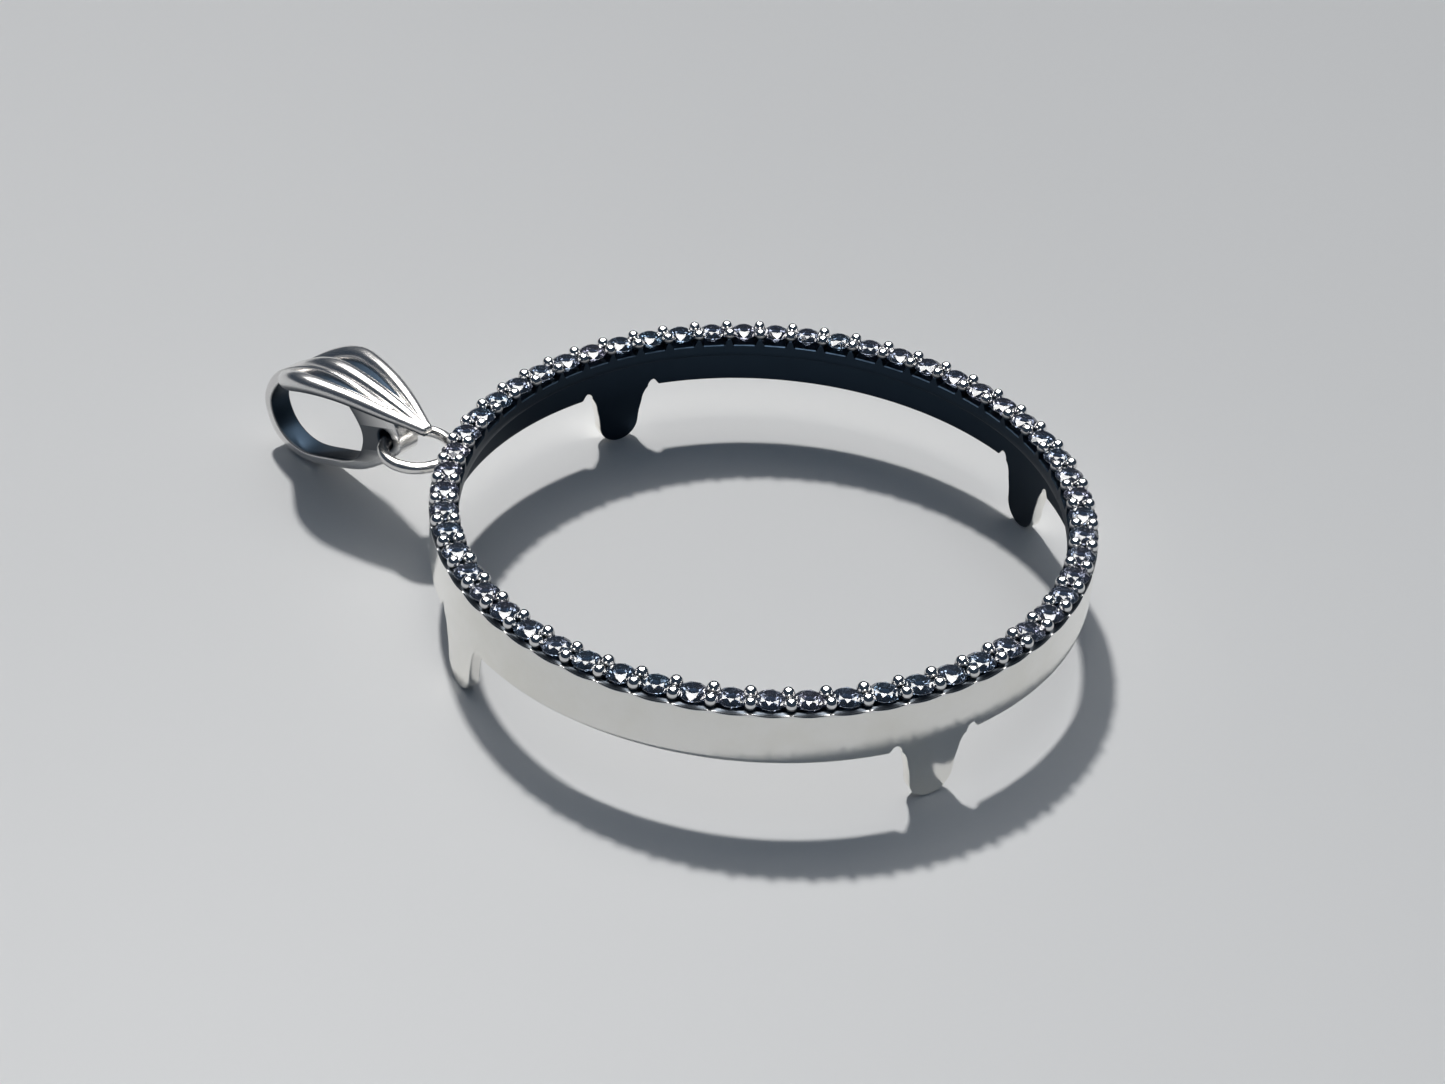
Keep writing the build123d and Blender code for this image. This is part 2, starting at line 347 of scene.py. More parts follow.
EDGE = 0.09                    # radius that the band's and tabs' edges are rounded to
COLUMNS_PER_STONE = 24
NOTCH_COLUMNS = 14
COLUMN_GAP = 0.03              # least distance from a notch's columns to the even ones
NOTCH_OFFSET = ROOT_HALF_WIDTH + NOTCH_RADIUS
ROOT_EASE = 0.30               # length over which an edge's rounding fades out at a tab's root


def tab_angle(number):
    return FIRST_TAB_ANGLE + number * tau / TAB_COUNT


def from_nearest_tab(angle):
    """Distance round the band from the middle of the nearest tab's root."""
    quarter = tau / TAB_COUNT
    turn = (angle - FIRST_TAB_ANGLE + quarter / 2) % quarter - quarter / 2
    return abs(turn) * BAND_RADIUS


def column_angles():
    """Angles of the wall's columns: even ones, and closer ones across each notch."""
    even = [FIRST_STONE_ANGLE + k * PITCH / COLUMNS_PER_STONE for k in range(STONES * COLUMNS_PER_STONE)]
    margin = NOTCH_RADIUS + COLUMN_GAP
    kept = [a for a in even if abs(from_nearest_tab(a) - NOTCH_OFFSET) > margin]
    for number in range(TAB_COUNT):
        for side in (-1, 1):
            for k in range(NOTCH_COLUMNS + 1):
                offset = NOTCH_OFFSET + NOTCH_RADIUS * cos(pi * k / NOTCH_COLUMNS)
                kept.append((tab_angle(number) + side * offset / BAND_RADIUS) % tau)
    return sorted(kept)


def rounded_corner(corner, back, on, share):
    """Five points round a corner, from the `back` side to the `on` side; share 0 keeps it sharp."""
    points = []
    for k in range(5):
        turn = pi / 2 * k / 4
        arc = back * (1 - sin(turn)) + on * (1 - cos(turn))
        flat = back * max(0, 1 - k / 2) + on * max(0, k / 2 - 1)
        points.append(corner + blend_between(flat, arc, share))
    return points


def band_section(angle):
    """The wall's section at one angle, as a closed loop of points."""
    from_tab = from_nearest_tab(angle)
    from_notch = from_tab - NOTCH_OFFSET
    bottom = BAND_BOTTOM
    if -NOTCH_RADIUS < from_notch <= 0:
        bottom += sqrt(NOTCH_RADIUS ** 2 - from_notch ** 2)
    elif 0 < from_notch < NOTCH_RADIUS:
        bottom += NOTCH_RADIUS * smooth_step(1 - from_notch / NOTCH_RADIUS)
    rounding = smooth_step((from_tab - ROOT_HALF_WIDTH) / ROOT_EASE)
    outward = Vector((1, 0))
    up = Vector((0, 1))
    outer = rounded_corner(Vector((BAND_RADIUS, bottom)), up * EDGE, -outward * EDGE, rounding)
    inner = rounded_corner(Vector((SEAT_RADIUS, bottom)), outward * EDGE, up * EDGE, rounding)
    section = [
        Vector((BAND_RADIUS, SEAM_Z)),
        Vector((BAND_RADIUS, SEAM_Z / 2)),
        Vector((BAND_RADIUS, bottom + 3 * EDGE)),
        *outer,
        *inner,
        Vector((SEAT_RADIUS, bottom + 3 * EDGE)),
        Vector((SEAT_RADIUS, 0)),
        Vector((POCKET_RADIUS, 0)),
        Vector((POCKET_RADIUS, SEAM_Z)),
    ]
    return [polar(angle, radius, z) for radius, z in section]


def inner_face_blackness(radius, z):
    """Black on the inside face, fading out over the rounding of its lower edge."""
    return smooth_step((SEAT_RADIUS + EDGE - radius) / EDGE)


def make_band():
    shells = Shells()
    shells.add_loops([band_section(angle) for angle in column_angles()], wrap=True)
    shells.blacken(inner_face_blackness)
    return shells.piece("band_wall", band_silver)


# ---- tabs ------------------------------------------------------------------------

TAB_TIP_HALF_WIDTH = 1.45
TAB_WAIST_HALF_WIDTH = 1.675
TAB_WAIST_Z = -3.55
TAB_ACROSS = 12                # faces across a tab


def tab_outline():
    """Half of a tab's outline as (half width, z), from its root round to its tip."""
    tip_z = FLOOR_Z + TAB_TIP_HALF_WIDTH
    flare = smooth_line([
        Vector((ROOT_HALF_WIDTH, BAND_BOTTOM)),
        Vector((1.80, -3.0)),
        Vector((TAB_WAIST_HALF_WIDTH, TAB_WAIST_Z)),
        Vector((1.53, -4.15)),
        Vector((TAB_TIP_HALF_WIDTH, tip_z)),
    ], 8)
    tip = []
    for k in range(1, 17):
        turn = pi / 2 * k / 16
        tip.append(Vector((TAB_TIP_HALF_WIDTH * cos(turn), tip_z - TAB_TIP_HALF_WIDTH * sin(turn))))
    tip[-1].x = 0
    return flare + tip


def inset_outline(outline, depth_at):
    """The outline moved inwards, by its own depth at each point."""
    moved = []
    for k, point in enumerate(outline):
        before = outline[max(0, k - 1)]
        after = outline[min(len(outline) - 1, k + 1)]
        run = (after - before).normalized()
        inward = Vector((run.y, -run.x))
        if k == 0:
            inward = Vector((-1, 0))
        if k == len(outline) - 1:
            inward = Vector((0, 1))
        moved.append(point + inward * depth_at[k])
    return moved


def make_tab(number):
    """A flat tongue that carries on the band's wall, with its edges rounded."""
    outline = tab_outline()
    rounding = [smooth_step((BAND_BOTTOM - point.y) / ROOT_EASE) for point in outline]
    outward = Vector((1, 0))
    inward = Vector((0, 1))
    layers = []
    for corner_radius, back, on in (
        (BAND_RADIUS, inward * EDGE, -outward * EDGE),
        (SEAT_RADIUS, outward * EDGE, inward * EDGE),
    ):
        for k in range(5):
            steps = [rounded_corner(Vector((corner_radius, 0)), back, on, share)[k] for share in rounding]
            shifted = inset_outline(outline, [step.y for step in steps])
            layers.append([(point.x, point.y, step.x) for point, step in zip(shifted, steps)])

    middle = tab_angle(number)
    shells = Shells()
    points = shells.points

    def place(width, z, radius):
        points.append(polar(middle + width / BAND_RADIUS, radius, z))
        return len(points) - 1

    def mirrored_row(layer):
        """Indices of a layer's points: (left side, right side), sharing the one at the tip."""
        right = [place(*spot) for spot in layer]
        left = [place(-width, z, radius) for width, z, radius in layer[:-1]] + [right[-1]]
        return left, right

    rims = [mirrored_row(layer) for layer in layers]
    faces = shells.faces
    for (left, right), (next_left, next_right) in zip(rims, rims[1:]):
        for k in range(len(outline) - 1):
            faces.append((right[k], next_right[k], next_right[k + 1], right[k + 1]))
            faces.append((left[k], left[k + 1], next_left[k + 1], next_left[k]))

    def fill(layer, rim, flip):
        """The broad face inside a rim: rows of quads that narrow to the tip. Returns its top row."""
        left, right = rim
        rows = []
        for k, (width, z, radius) in enumerate(layer[:-1]):
            inner = [place(width * (2 * i / TAB_ACROSS - 1), z, radius) for i in range(1, TAB_ACROSS)]
            rows.append([left[k], *inner, right[k]])
        for row, below in zip(rows, rows[1:]):
            for i in range(TAB_ACROSS):
                face = (row[i], row[i + 1], below[i + 1], below[i])
                faces.append(face[::-1] if flip else face)
        for i in range(TAB_ACROSS):
            face = (rows[-1][i], rows[-1][i + 1], right[-1])
            faces.append(face[::-1] if flip else face)
        return rows[0]

    outer_top = fill(layers[0], rims[0], flip=True)
    inner_top = fill(layers[-1], rims[-1], flip=False)
    right_top = [right[0] for left, right in rims[1:-1]]
    left_top = [left[0] for left, right in rims[1:-1]]
    faces.append(tuple(outer_top + right_top + inner_top[::-1] + left_top[::-1]))

    shells.blacken(inner_face_blackness)
    piece = shells.piece(f"tab_{number + 1}_blade", band_silver)
    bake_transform(piece)
    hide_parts(f"tab_{number + 1}")


# ---- ring of stones --------------------------------------------------------------

RIM_TOP = 1.03                 # top of the thin rim outside the stones
RIM_INNER_RADIUS = 19.66
BEVEL_BLACKNESS = 0.93         # painted dark reflection on the bevel outside the rim
SCALLOP_LOW_Z = 0.84
SCALLOP_RISE = 0.15
SLOT_HALF_WIDTH = 0.70         # U-shaped seat under each stone
SLOT_EASE = 0.20
SLOT_BOTTOM = 0.80
WEB_TOP = 1.27                 # top of the walls between neighbouring stones
GROOVE_HALF_WIDTH = 0.24
GROOVE_DEPTH = 0.30
LIP_RADIUS = 19.58             # where the rim starts to drop into the seats
INNER_EDGE_WIDTH = 0.06
INNER_EDGE_DROP = 0.05
TOP_ROWS = [RIM_INNER_RADIUS, 19.63, 19.60, 19.55]      # radii of the upper surface's points
TOP_ROWS += [19.48 - 0.08 * k for k in range(16)]
TOP_ROWS += [18.22, 18.18, WINDOW_RADIUS]


def place_in_pitch(angle):
    """How far an angle is from the nearest stone's middle, as a share of the pitch, -0.5 to 0.5."""
    return ((angle - FIRST_STONE_ANGLE) / PITCH + 0.5) % 1 - 0.5


def top_height(angle, radius):
    """Height of the ring's upper surface, below the stones."""
    across = abs(place_in_pitch(angle)) * PITCH * radius
    web = smooth_step((across - SLOT_HALF_WIDTH) / SLOT_EASE)
    height = blend_between(SLOT_BOTTOM, WEB_TOP, web)
    groove = max(0, 1 - abs(radius - STONE_RING_RADIUS) / GROOVE_HALF_WIDTH)
    height -= web * GROOVE_DEPTH * smooth_step(groove)
    outer_lip = smooth_step((radius - LIP_RADIUS) / (RIM_INNER_RADIUS - LIP_RADIUS))
    height = blend_between(height, RIM_TOP, outer_lip)
    inner_edge = smooth_step((WINDOW_RADIUS + INNER_EDGE_WIDTH - radius) / INNER_EDGE_WIDTH)
    return height - INNER_EDGE_DROP * inner_edge


def ring_section(angle):
    """The ring's section at one angle: outer wall, bevelled rim, stone seats, window, underside."""
    cusp = (2 * place_in_pitch(angle)) ** 2
    scallop = SCALLOP_LOW_Z + SCALLOP_RISE * cusp
    bevel_run = BAND_RADIUS - RIM_INNER_RADIUS
    section = [
        (BAND_RADIUS, SEAM_Z),
        (BAND_RADIUS, scallop - 0.015),
        (BAND_RADIUS - 0.010, scallop),
        (BAND_RADIUS - 0.35 * bevel_run, blend_between(scallop, RIM_TOP, 0.42)),
        (BAND_RADIUS - 0.70 * bevel_run, blend_between(scallop, RIM_TOP, 0.80)),
        (BAND_RADIUS - 0.88 * bevel_run, RIM_TOP - 0.008),
    ]
    section += [(radius, top_height(angle, radius)) for radius in TOP_ROWS]
    section += [
        (WINDOW_RADIUS, 0.40),
        (WINDOW_RADIUS, 0.06),
        (WINDOW_RADIUS + 0.02, 0.015),
        (WINDOW_RADIUS + 0.06, 0),
        (LEDGE_RADIUS, 0),
        (LEDGE_RADIUS, LEDGE_STEP),
        (COLLAR_RADIUS, LEDGE_STEP),
        (COLLAR_RADIUS, SEAM_Z),
    ]
    return [polar(angle, radius, z) for radius, z in section]


def recess_oxide_and_painted_shade(radius, z):
    """Black inside the rim and all down the window, oxide deepened by painted shade, and almost as black
    on the rim's bevel as a painted dark reflection.
    """
    # oxide and painted shade inside the rim
    inside = smooth_step((RIM_INNER_RADIUS - radius) / 0.02)
    # painted dark reflection on the bevel
    bevel = smooth_step((BAND_RADIUS - radius) / 0.03)
    return max(inside, BEVEL_BLACKNESS * bevel)


def make_ring():
    shells = Shells()
    shells.add_loops([ring_section(angle) for angle in column_angles()], wrap=True)
    shells.blacken(recess_oxide_and_painted_shade)
    return shells.piece("stone_ring", ring_silver)


BEAD_RADIUS = 0.40
BEAD_Z = BEAD_TOP - BEAD_RADIUS
POST_NECK_RADIUS = 0.24
POST_FOOT_RADIUS = 0.31
POST_FOOT_Z = 0.86
POST_WAIST_RADIUS = 0.26
POST_WAIST_Z = 1.0
OUTER_BEADS_RADIUS = 19.5
INNER_BEADS_RADIUS = 18.51
BEAD_SEGMENTS = 20
BEAD_RINGS = 11


def bead_profile():
    """A post that narrows to a neck and ends in a round bead."""
    neck_turn = asin(POST_NECK_RADIUS / BEAD_RADIUS)
    neck_z = BEAD_Z - BEAD_RADIUS * cos(neck_turn)
    profile = [(0, POST_FOOT_Z), (POST_FOOT_RADIUS, POST_FOOT_Z), (POST_WAIST_RADIUS, POST_WAIST_Z)]
    profile.append((POST_NECK_RADIUS, (POST_WAIST_Z + neck_z) / 2))
    for k in range(BEAD_RINGS):
        turn = blend_between(neck_turn, pi, k / BEAD_RINGS)
        profile.append((BEAD_RADIUS * sin(turn), BEAD_Z - BEAD_RADIUS * cos(turn)))
    profile.append((0, BEAD_Z + BEAD_RADIUS))
    return profile


def bead_painted_shade(radius, z):
    """Painted shade: black below and bright on top of the bead, reaching further down on the outer beads.
    """
    bright_above = 1.44 if radius > STONE_RING_RADIUS else 1.58
    return smooth_step((bright_above - z) / 0.24)


def make_beads():
    """Two posts with beads between each pair of stones, a little uneven, as cast ones are."""
    rng = random.Random(7)
    shells = Shells()
    profile = bead_profile()
    for radius in (OUTER_BEADS_RADIUS, INNER_BEADS_RADIUS):
        for k in range(STONES):
            angle = FIRST_STONE_ANGLE + (k + 0.5) * PITCH + rng.uniform(-1, 1) * 0.0012
            spot = polar(angle, radius + rng.uniform(-0.02, 0.02), 0)
            grow = rng.uniform(0.95, 1.0)
            lean = Matrix.Rotation(rng.uniform(-0.04, 0.04), 4, Vector((cos(angle), sin(angle), 0)))
            place = Matrix.Translation(spot) @ lean @ Matrix.Diagonal((grow, grow, 1, 1))
            shells.add_lathe(profile, place, BEAD_SEGMENTS)
    shells.blacken(bead_painted_shade)
    return shells.piece("prong_beads", bead_silver, sharp=50)


# ---- stones ----------------------------------------------------------------------

STONE_RADIUS = STONE_DIAMETER / 2
TABLE_RADIUS = 0.29 * STONE_DIAMETER
GIRDLE_TOP = TABLE_Z - 0.155 * STONE_DIAMETER
GIRDLE_BOTTOM = GIRDLE_TOP - 0.025 * STONE_DIAMETER
CULET_Z = GIRDLE_BOTTOM - 0.43 * STONE_DIAMETER
STAR_SHARE = 0.52              # how far the star facets reach from table to girdle
LOWER_SHARE = 0.25             # where the lower girdle facets end, from culet to girdle


def brilliant_cut():
    """Points and flat facets of a round brilliant: 33 above the girdle and 24 below."""
    eighth = tau / 8
    girdle_slope = (TABLE_Z - GIRDLE_TOP) / (STONE_RADIUS - TABLE_RADIUS)
    star_radius = blend_between(TABLE_RADIUS, STONE_RADIUS, STAR_SHARE)
    star_z = TABLE_Z - girdle_slope * (star_radius * cos(eighth / 2) - TABLE_RADIUS)
    pavilion_slope = (GIRDLE_BOTTOM - CULET_Z) / STONE_RADIUS
    lower_radius = LOWER_SHARE * STONE_RADIUS
    lower_z = CULET_Z + pavilion_slope * lower_radius * cos(eighth / 2)

    points = []

    def ring(count, radius, z, offset=0):
        first = len(points)
        for k in range(count):
            points.append(polar(tau * k / count + offset, radius, z))
        return [first + k for k in range(count)]

    table = ring(8, TABLE_RADIUS, TABLE_Z)
    star = ring(8, star_radius, star_z, eighth / 2)
    upper = ring(16, STONE_RADIUS, GIRDLE_TOP)
    lower = ring(16, STONE_RADIUS, GIRDLE_BOTTOM)
    inner = ring(8, lower_radius, lower_z, eighth / 2)
    points.append(Vector((0, 0, CULET_Z)))
    culet = len(points) - 1

    faces = [tuple(table)]
    for k in range(8):
        after = (k + 1) % 8
        before = (k - 1) % 8
        corner = 2 * k
        mid = 2 * k + 1
        faces.append((table[k], star[k], table[after]))
        faces.append((table[k], star[before], upper[corner], star[k]))
        faces.append((star[k], upper[corner], upper[mid]))
        faces.append((star[k], upper[mid], upper[(corner + 2) % 16]))
        faces.append((inner[k], lower[mid], lower[corner]))
        faces.append((inner[k], lower[(corner + 2) % 16], lower[mid]))
        faces.append((culet, inner[k], lower[corner], inner[before]))
    for k in range(16):
        j = (k + 1) % 16
        faces.append((upper[k], lower[k], lower[j], upper[j]))
    return points, faces


def make_stones():
    """Three faceted stones for each node of them, each set a little askew."""
    rng = random.Random(11)
    points, faces = brilliant_cut()
    pieces = []
    for node in range(STONES // STONES_PER_NODE):
        shells = Shells()
        for k in range(STONES_PER_NODE):
            angle = FIRST_STONE_ANGLE + (node * STONES_PER_NODE + k) * PITCH
            spin = Matrix.Rotation(rng.uniform(0, tau), 4, "Z")
            tilt_turn = rng.uniform(0, tau)
            tilt_axis = Vector((cos(tilt_turn), sin(tilt_turn), 0))
            middle = Matrix.Translation((0, 0, GIRDLE_TOP))
            tilt = middle @ Matrix.Rotation(rng.uniform(-0.03, 0.03), 4, tilt_axis) @ middle.inverted()
            place = Matrix.Translation(polar(angle, STONE_RING_RADIUS, 0)) @ tilt @ spin
            shells.add_faces([place @ point for point in points], faces)
        name = f"stones_{node + 1:02d}"
        piece = shells.piece(f"{name}_cut", clear_stone, sharp=0)
        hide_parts(name)
        pieces.append(piece)
    return pieces


# ---- jump ring -------------------------------------------------------------------

def make_jump_ring():
    """A closed ring of round wire, soldered to the band where it touches it."""
    around, section = 96, 24
    loops = []
    for k in range(around):
        turn = tau * k / around
        outward = Vector((cos(turn), sin(turn), 0))
        loop = []
        for i in range(section):
            phi = tau * i / section
            reach = LOOP_RADIUS + LOOP_WIRE_RADIUS * cos(phi)
            loop.append(LOOP_CENTRE + outward * reach + Vector((0, 0, LOOP_WIRE_RADIUS * sin(phi))))
        loops.append(loop)
    shells = Shells()
    shells.add_loops(loops, wrap=True)
    return shells.piece("jump_ring_wire", wire_silver)


# ---- bail ------------------------------------------------------------------------

bail_swing = next(joint for joint in frame["joints"] if joint["name"] == "bail_swing")
hinge_point = Vector(bail_swing["pos_m"]) / MM
bail_along = Vector((sin(BAIL_YAW) * cos(BAIL_DROOP), cos(BAIL_YAW) * cos(BAIL_DROOP), -sin(BAIL_DROOP)))
bail_across = Vector((cos(BAIL_YAW), -sin(BAIL_YAW), 0))
bail_up = bail_across.cross(bail_along)

STRAP_HALF_WIDTH = 0.80
STRAP_EDGE = 0.16
EYE_RADIUS = 0.65
WEB_END = 4.2                  # up to here along the strap, its web is black beside its openings too, as painted shade
WEB_EASE = 1.2
WEB_REACH = 5

STRAP_OUTSIDE = [
    (-1.0, 1.9), (0.9, 3.0), (2.9, 3.9), (5.0, 4.35), (7.8, 4.2), (10.4, 3.4), (12.1, 1.6),
    (11.9, -0.8), (9.8, -2.3), (6.6, -2.55), (3.6, -2.45), (1.4, -1.9), (0.0, -1.3),
    (-1.15, -0.7), (-1.4, 0.5),
]
STRAP_INSIDE = [
    (2.4, 0.6), (3.6, 2.75), (5.4, 3.6), (7.8, 3.55), (10.0, 2.8), (11.45, 1.4),
    (11.2, -0.5), (9.5, -1.7), (6.5, -1.9), (4.1, -1.75), (2.8, -0.8),
]
MIDDLE_RIDGE = [(-3.3, 0.75, 0), (-1.2, 1.95, 0), (1.0, 3.05, 0), (3.0, 3.8, 0), (4.8, 4.1, 0),
                (7.0, 4.0, 0), (9.0, 3.45, 0)]
SIDE_RIDGE = [(-3.3, 0.75, 0.15), (-1.2, 1.9, 1.0), (1.0, 2.95, 1.65), (3.0, 3.65, 2.1),
              (4.8, 4.0, 2.3), (6.8, 3.85, 1.95), (8.6, 3.45, 1.0), (9.8, 2.95, 0.45)]
RIDGE_RADII = [(0.0, 0.34), (0.3, 0.50), (0.65, 0.66), (1.0, 0.36)]
PLATE_TOP = [(-3.2, 0.7), (-1.2, 1.85), (1.0, 2.9), (3.0, 3.6), (4.8, 3.95), (6.8, 3.85), (8.6, 3.65)]
PLATE_HALF_WIDTH = [0.15, 1.0, 1.65, 2.1, 2.3, 1.95, 1.0]
PLATE_THICKNESS = 0.4
CAP_STEPS = (20, 40, 60, 80)   # degrees round the half ball that closes a ridge's end


def bail_point(along, height, across=0):
    return hinge_point + bail_along * along + bail_up * height + bail_across * across


def closed_line(points, steps):
    """A smooth closed line through points, `steps` to each span."""
    padded = [points[-1]] + list(points) + list(points[:2])
    line = smooth_line([Vector(point) for point in padded], steps)
    return line[steps:-steps][:-1]


def radius_along(share):
    """A ridge's radius at a share of its length."""
    for (start, thin), (end, thick) in zip(RIDGE_RADII, RIDGE_RADII[1:]):
        if share <= end:
            return blend_between(thin, thick, smooth_step((share - start) / (end - start)))
    return RIDGE_RADII[-1][1]


def add_ridge(shells, points):
    """A round bar along a smooth line, closed by half balls."""
    line = smooth_line([bail_point(*point) for point in points], 8)
    sides = 24
    last = len(line) - 1
    loops = []

    def loop_at(centre, run, radius):
        side = run.cross(bail_up).normalized()
        lift = side.cross(run).normalized()
        turns = [tau * i / sides for i in range(sides)]
        return [centre + (side * cos(turn) + lift * sin(turn)) * radius for turn in turns]

    for k, centre in enumerate(line):
        run = (line[min(last, k + 1)] - line[max(0, k - 1)]).normalized()
        radius = radius_along(k / last)
        if k == 0:
            for step in reversed(CAP_STEPS):
                loops.append(loop_at(centre - run * radius * sin(radians(step)), run,
                                     radius * cos(radians(step))))
        loops.append(loop_at(centre, run, radius))
        if k == last:
            for step in CAP_STEPS:
                loops.append(loop_at(centre + run * radius * sin(radians(step)), run,
                                     radius * cos(radians(step))))
    shells.add_loops(loops)
    # painted shade: each ridge is black along its lower half
    under = [smooth_step((0.1 - sin(tau * i / sides)) / 0.5) for i in range(sides)]
    shells.blackness.extend(under * len(loops))


def add_strap(shells):
    """The folded strap with its web and eye: a plate with rounded edges, cut from one outline."""
    curve = bpy.data.curves.new("strap_outline", "CURVE")
    curve.dimensions = "2D"
    curve.fill_mode = "BOTH"
    curve.extrude = STRAP_HALF_WIDTH - STRAP_EDGE
    curve.bevel_depth = STRAP_EDGE
    curve.bevel_resolution = 3
    curve.offset = -STRAP_EDGE
    eye = [(EYE_RADIUS * cos(tau * k / 24), EYE_RADIUS * sin(tau * k / 24)) for k in range(24)]
    for outline, steps in ((STRAP_OUTSIDE, 12), (STRAP_INSIDE, 12), (eye, 2)):
        line = closed_line([Vector(point) for point in outline], steps)
        spline = curve.splines.new("POLY")
        spline.points.add(len(line) - 1)
        for spot, point in zip(spline.points, line):
            spot.co = (point.x, point.y, 0, 1)
        spline.use_cyclic_u = True
    carrier = bpy.data.objects.new("strap_outline", curve)
    mesh = bpy.data.meshes.new_from_object(carrier)
    shells.add_faces([bail_point(v.co.x, v.co.y, v.co.z) for v in mesh.vertices],
                     [tuple(p.vertices) for p in mesh.polygons])
    # painted shade: the strap is black along its openings, and widely on the web near the eye
    openings = closed_line([Vector(point) for point in STRAP_INSIDE], 60)
    openings += closed_line([Vector(point) for point in eye], 10)
    opening_points = KDTree(len(openings))
    for k, point in enumerate(openings):
        opening_points.insert((point.x, point.y, 0), k)
    opening_points.balance()
    for vertex in mesh.vertices:
        away = opening_points.find((vertex.co.x, vertex.co.y, 0))[2]
        near_eye = smooth_step((WEB_END - vertex.co.x) / WEB_EASE)
        reach = STRAP_EDGE * blend_between(1, WEB_REACH, near_eye)
        shells.blackness.append(smooth_step(1 - away / reach))
    bpy.data.objects.remove(carrier)
    bpy.data.curves.remove(curve)
    bpy.data.meshes.remove(mesh)


def add_plate(shells):
    """The thin fan under the ridges, all black as painted shade between them."""
    tops = smooth_line([Vector(point) for point in PLATE_TOP], 4)
    widths = smooth_line([Vector((width, 0)) for width in PLATE_HALF_WIDTH], 4)
    across = 10
    loops = []
    for top, width in zip(tops, widths):
        sides = [width.x * (2 * i / across - 1) for i in range(across + 1)]
        upper = [bail_point(top.x, top.y, side) for side in sides]
        under = [bail_point(top.x, top.y - PLATE_THICKNESS, side) for side in reversed(sides)]
        loops.append(upper + under)
    shells.add_loops(loops)
    # painted shade: the whole fan is black
    shells.blacken(lambda radius, z: 1.0)


def make_bail():
    shells = Shells()
    add_strap(shells)
    add_plate(shells)
    for side in (-1, 1):
        add_ridge(shells, [(x, y, side * z) for x, y, z in SIDE_RIDGE])
    add_ridge(shells, MIDDLE_RIDGE)
    return shells.piece("bail_cast", bail_silver, sharp=40)


# ---- pieces on their bodies --------------------------------------------------------

def settle(piece, body, slot, *nodes):
    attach(piece, body)
    if nodes:
        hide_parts(*nodes)


settle(make_band(), BEZEL, "polished_silver", "band")
settle(make_ring(), BEZEL, "set_silver", "pave_ring")
settle(make_beads(), BEZEL, "set_silver")
settle(make_jump_ring(), BEZEL, "wire_silver", "jump_ring")
settle(make_bail(), "bail", "bail_silver", "bail")
for stone_piece in make_stones():
    settle(stone_piece, BEZEL, "stones")
for tab_number in range(TAB_COUNT):
    make_tab(tab_number)

# ---- floor -------------------------------------------------------------------------

FLOOR_HALF_SIZE = 1500


def make_floor():
    material, shader, add, link = new_material("pale_floor")
    wash = add_noise(add, link, 9, 3)
    tone = add("ShaderNodeMix", data_type="RGBA")
    tone.inputs["A"].default_value = (0.70, 0.71, 0.72, 1)
    tone.inputs["B"].default_value = (0.76, 0.77, 0.78, 1)
    link(wash, tone.inputs["Factor"])
    link(tone.outputs["Result"], shader.inputs["Base Color"])
    shader.inputs["Roughness"].default_value = 0.55
    corners = [(x * FLOOR_HALF_SIZE, y * FLOOR_HALF_SIZE, FLOOR_Z)
               for x, y in ((-1, -1), (1, -1), (1, 1), (-1, 1))]
    floor = make_piece("floor", corners, [(0, 1, 2, 3)], material, sharp=0)


make_floor()

# ---- light -------------------------------------------------------------------------

KEY_AZIMUTH = radians(33)      # the key light stands on the far side, seen from the camera
KEY_ELEVATION = radians(54.7)


def direction(azimuth, elevation):
    return Vector((cos(azimuth) * cos(elevation), sin(azimuth) * cos(elevation), sin(elevation)))


def add_light(name, kind, towards, distance, **values):
    """A lamp that stands `distance` mm from the origin and shines at it."""
    data = bpy.data.lights.new(name, kind)
    for key, value in values.items():
        setattr(data, key, value)
    lamp = bpy.data.objects.new(name, data)
    bpy.context.scene.collection.objects.link(lamp)
    lamp.location = towards * distance * MM
    lamp.rotation_mode = "QUATERNION"
    lamp.rotation_quaternion = towards.to_track_quat("Z", "Y")
    lamp.visible_camera = False
    return lamp


add_light("key", "SUN", direction(KEY_AZIMUTH, KEY_ELEVATION), 500,
          energy=2.05, angle=radians(4), color=(1.0, 0.98, 0.95))
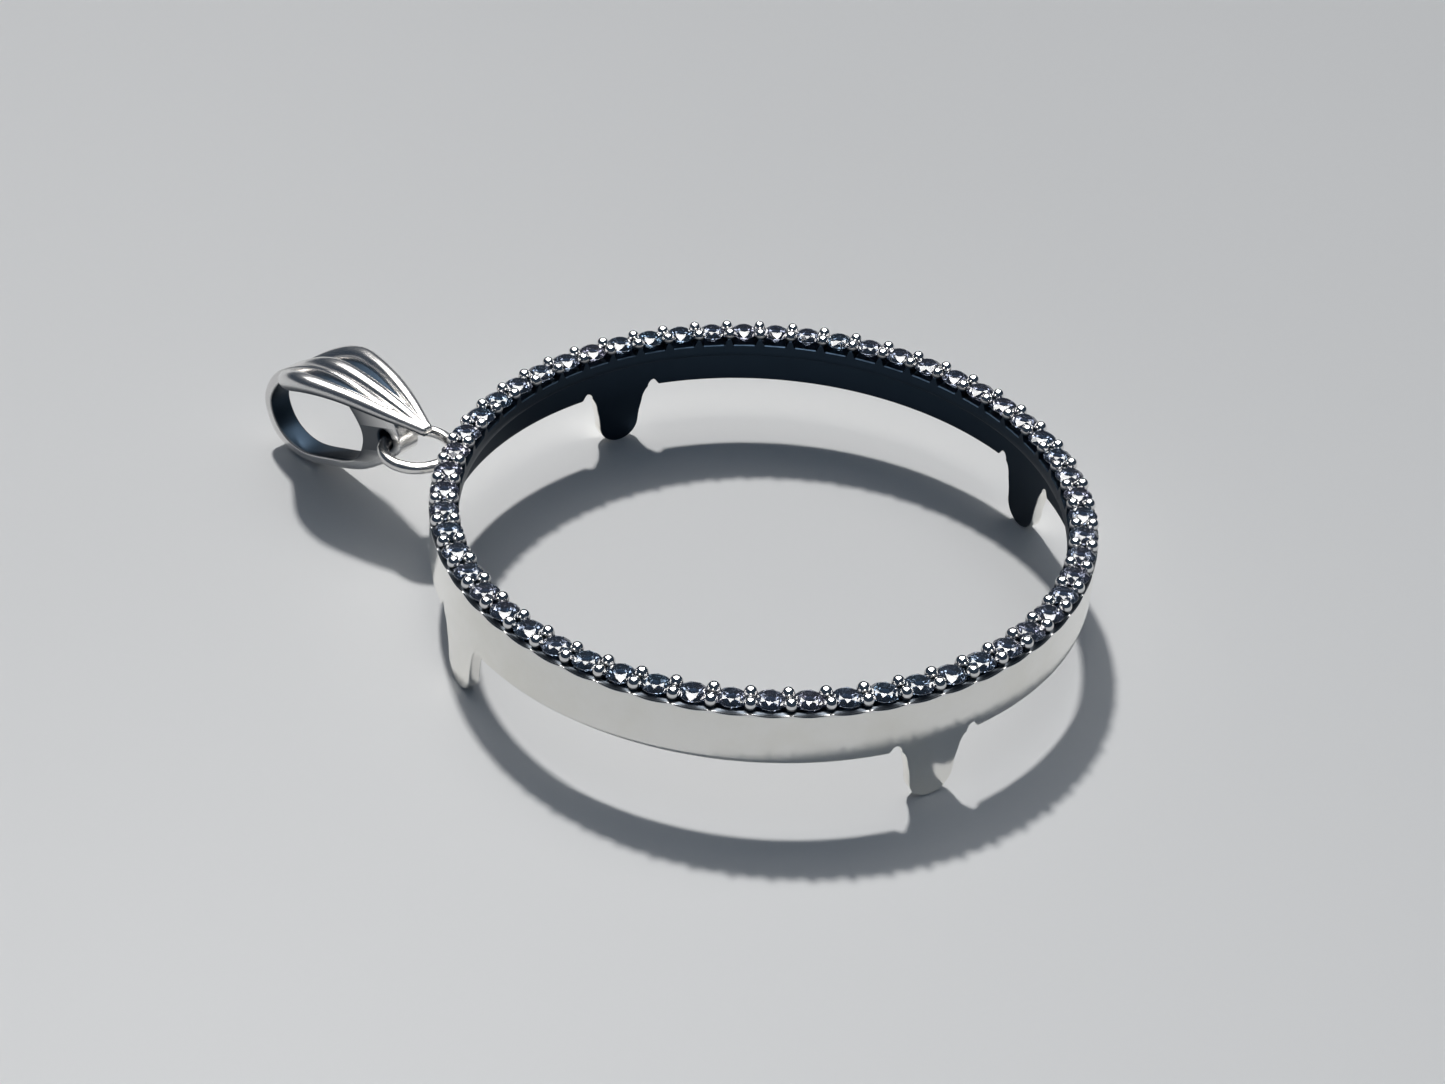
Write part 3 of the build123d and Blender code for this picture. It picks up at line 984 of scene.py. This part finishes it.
# these two only add highlights to metal and stones
window = add_light("window_softbox", "AREA", direction(KEY_AZIMUTH - radians(12), radians(70)), 500,
                   energy=5.0, shape="RECTANGLE", size=0.7, size_y=0.34, color=(1.0, 0.99, 0.97))
window.visible_diffuse = False
overhead = add_light("overhead_softbox", "AREA", direction(KEY_AZIMUTH + radians(162), radians(78)), 500,
                     energy=1.6, shape="DISK", size=0.26, color=(1.0, 1.0, 1.0))
overhead.visible_diffuse = False
# and this one only lifts the shadows
fill = add_light("fill", "AREA", direction(KEY_AZIMUTH + pi, radians(75)), 600,
                 energy=0.16, shape="DISK", size=0.9, color=(0.34, 0.64, 1.0))
fill.visible_glossy = False
fill.visible_transmission = False

world = bpy.data.worlds.new("studio")
bpy.context.scene.world = world
world.use_nodes = True
world.node_tree.nodes["Background"].inputs["Color"].default_value = (0.024, 0.036, 0.054, 1)

# ---- camera ------------------------------------------------------------------------

CAMERA_AZIMUTH = radians(-75.37)
CAMERA_ELEVATION = radians(35.74)
CAMERA_ROLL = radians(3.61)
CAMERA_TARGET = Vector((-0.55, 2.28, -2.14))
CAMERA_DISTANCE = 156.6
LENS = 64.65                         # on a 36 mm sensor

camera = bpy.data.objects.new("camera", bpy.data.cameras.new("camera"))
bpy.context.scene.collection.objects.link(camera)
bpy.context.scene.camera = camera
camera.data.sensor_width = 36
camera.data.lens = LENS
camera.data.clip_start = 0.01
camera.data.clip_end = 20
to_camera = Vector((
    sin(CAMERA_AZIMUTH) * cos(CAMERA_ELEVATION),
    -cos(CAMERA_AZIMUTH) * cos(CAMERA_ELEVATION),
    sin(CAMERA_ELEVATION),
))
level_right = Vector((0, 0, 1)).cross(to_camera).normalized()
level_up = to_camera.cross(level_right)
camera_right = level_right * cos(CAMERA_ROLL) + level_up * sin(CAMERA_ROLL)
camera_up = to_camera.cross(camera_right)
facing = Matrix((camera_right, camera_up, to_camera)).transposed().to_4x4()
camera.matrix_world = Matrix.Translation((CAMERA_TARGET + to_camera * CAMERA_DISTANCE) * MM) @ facing

bpy.context.scene.view_settings.view_transform = "Standard"

bpy.context.view_layer.update()
